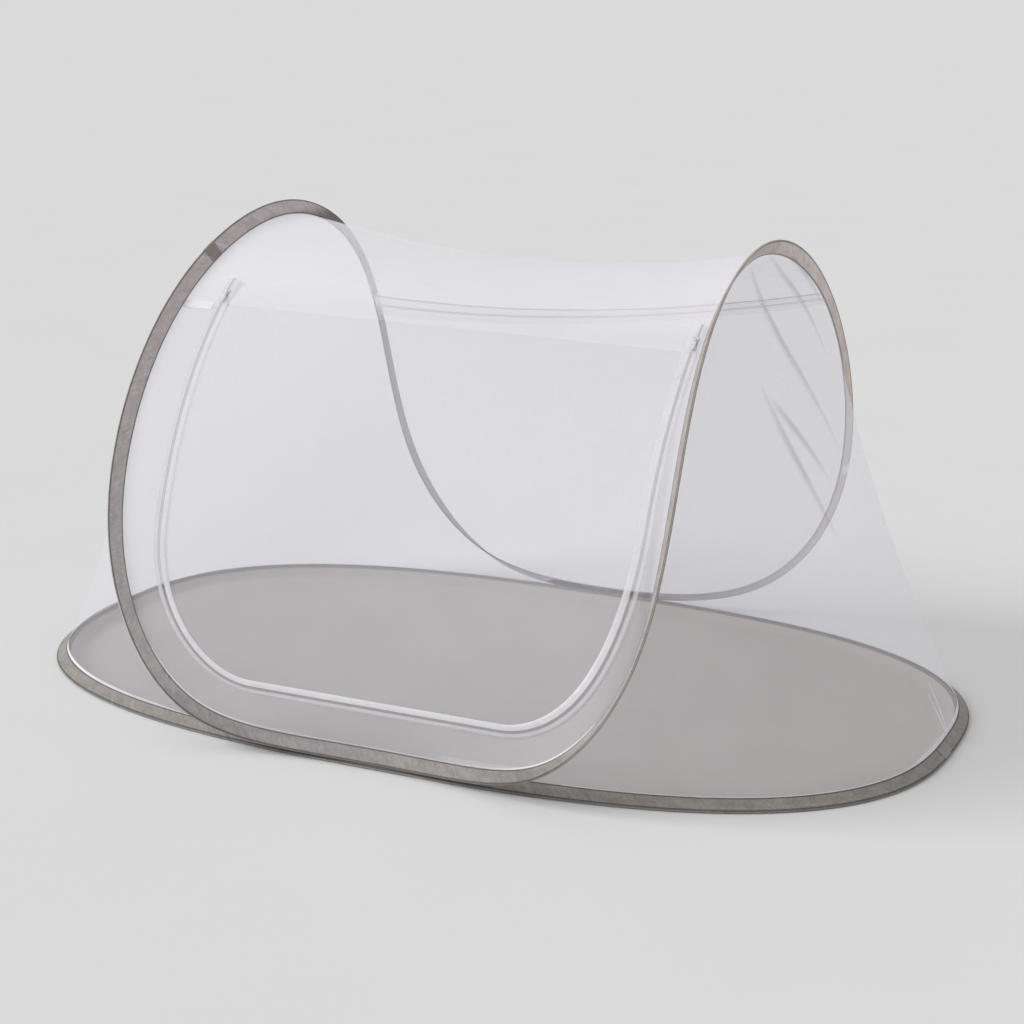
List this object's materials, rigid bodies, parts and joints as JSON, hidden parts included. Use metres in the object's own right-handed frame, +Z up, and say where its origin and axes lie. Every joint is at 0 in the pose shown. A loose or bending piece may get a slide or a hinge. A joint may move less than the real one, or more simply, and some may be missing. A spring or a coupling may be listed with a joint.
{
  "type": "mosquito net tent",
  "caption": "Pop-up bed tent: sprung wire hoops in folded tape carry net walls and a roof over a sheet floor, with a zipped front flap that hinges at the top.",
  "frame": {"origin": "centre of the floor on the ground", "axes": "+X runs along the tent to the right as seen from the door, -Y points out through the door, +Z up"},
  "size_m": [2, 1.3805, 0.9936],
  "materials": {
    "tape_taupe": "matt folded binding tape",
    "floor_taupe": "matt woven sheet",
    "net_white": "fine see-through mosquito net",
    "tape_white": "matt woven tape",
    "zipper_coil": "nylon coil",
    "spring_steel": "bare spring wire",
    "slider_metal": "light grey enamel"
  },
  "bodies": {
    "root": {"arch_binding": "tape_taupe", "arch_joint_cover": "tape_taupe", "arch_wire": "spring_steel", "arch_wire_ferrule": "spring_steel", "arch_wrap_left": "tape_white", "arch_wrap_right": "tape_white", "back_net": "net_white", "back_seam_band": "tape_white", "base_binding": "tape_taupe", "base_joint_cover": "tape_taupe", "base_wire": "spring_steel", "base_wire_ferrule": "spring_steel", "floor_sheet": "floor_taupe", "front_net": "net_white", "front_seam_left": "tape_white", "left_end_net": "net_white", "left_hem_tape": "tape_white", "right_end_net": "net_white", "right_hem_tape": "tape_white", "roof_net": "net_white", "zipper_coil_frame": "zipper_coil", "zipper_head_left": "tape_white", "zipper_head_right": "tape_white", "zipper_stop_left": "zipper_coil", "zipper_stop_right": "zipper_coil", "zipper_tape_frame": "tape_white"},
    "door": {"door_net": "net_white", "zipper_tape_door": "tape_white", "zipper_coil_door": "zipper_coil"},
    "slider_left": {"slider_left": "slider_metal"},
    "pull_outer_left": {"pull_outer_left": "slider_metal"},
    "pull_inner_left": {"pull_inner_left": "slider_metal"},
    "slider_right": {"slider_right": "slider_metal"},
    "pull_outer_right": {"pull_outer_right": "slider_metal"},
    "pull_inner_right": {"pull_inner_right": "slider_metal"}
  },
  "joints": [
    {"name": "door_swing", "type": "hinge", "parent": "root", "child": "door", "pos_m": [0, -0.3802, 0.83597], "axis": [-1, 0, 0], "range_deg": [0, 110]},
    {"name": "slider_left_run", "type": "hinge", "parent": "root", "child": "slider_left", "pos_m": [-0.46933, 0.1202, 0.2562], "axis": [1, 0, 0], "range_deg": [0, 38.4]},
    {"name": "pull_outer_left_swing", "type": "hinge", "parent": "slider_left", "child": "pull_outer_left", "pos_m": [-0.46933, -0.35833, 0.85684], "axis": [-1, 0, 0], "range_deg": [0, 160]},
    {"name": "pull_inner_left_swing", "type": "hinge", "parent": "slider_left", "child": "pull_inner_left", "pos_m": [-0.46933, -0.35385, 0.85121], "axis": [1, 0, 0], "range_deg": [-40, 100]},
    {"name": "slider_right_run", "type": "hinge", "parent": "root", "child": "slider_right", "pos_m": [0.53433, 0.1202, 0.2562], "axis": [1, 0, 0], "range_deg": [0, 29.4]},
    {"name": "pull_outer_right_swing", "type": "hinge", "parent": "slider_right", "child": "pull_outer_right", "pos_m": [0.53433, -0.35833, 0.85684], "axis": [-1, 0, 0], "range_deg": [0, 160]},
    {"name": "pull_inner_right_swing", "type": "hinge", "parent": "slider_right", "child": "pull_inner_right", "pos_m": [0.53433, -0.35385, 0.85121], "axis": [1, 0, 0], "range_deg": [-40, 100]}
  ]
}
